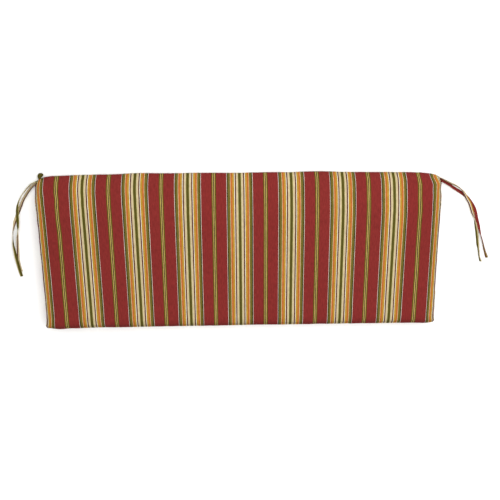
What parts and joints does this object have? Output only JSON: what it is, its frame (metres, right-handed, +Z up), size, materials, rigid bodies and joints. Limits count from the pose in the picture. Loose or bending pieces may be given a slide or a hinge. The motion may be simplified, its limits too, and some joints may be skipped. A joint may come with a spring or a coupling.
{
  "type": "loveseat cushion with corner ties",
  "caption": "Long striped seat cushion with a crowned face, a soft roll along the tied edge, a flat underside and loose cloth ties at both corners of that edge.",
  "frame": {"origin": "middle of the flat underside", "axes": "+X along the length, +Y towards the edge with the ties, +Z up out of the face"},
  "size_m": [1.433, 0.4795, 0.068],
  "materials": {
    "cover_cloth": "matt woven cotton, red with stripes of olive, gold, orange, cream and white along the depth",
    "tie_cloth": "matt woven cotton, strips of the same striped cloth folded and stitched"
  },
  "bodies": {
    "root": {"cushion": "cover_cloth", "tie_left_outer": "tie_cloth", "tie_left_inner": "tie_cloth", "tie_left_fold": "tie_cloth", "tie_right_outer": "tie_cloth", "tie_right_inner": "tie_cloth"}
  },
  "joints": []
}
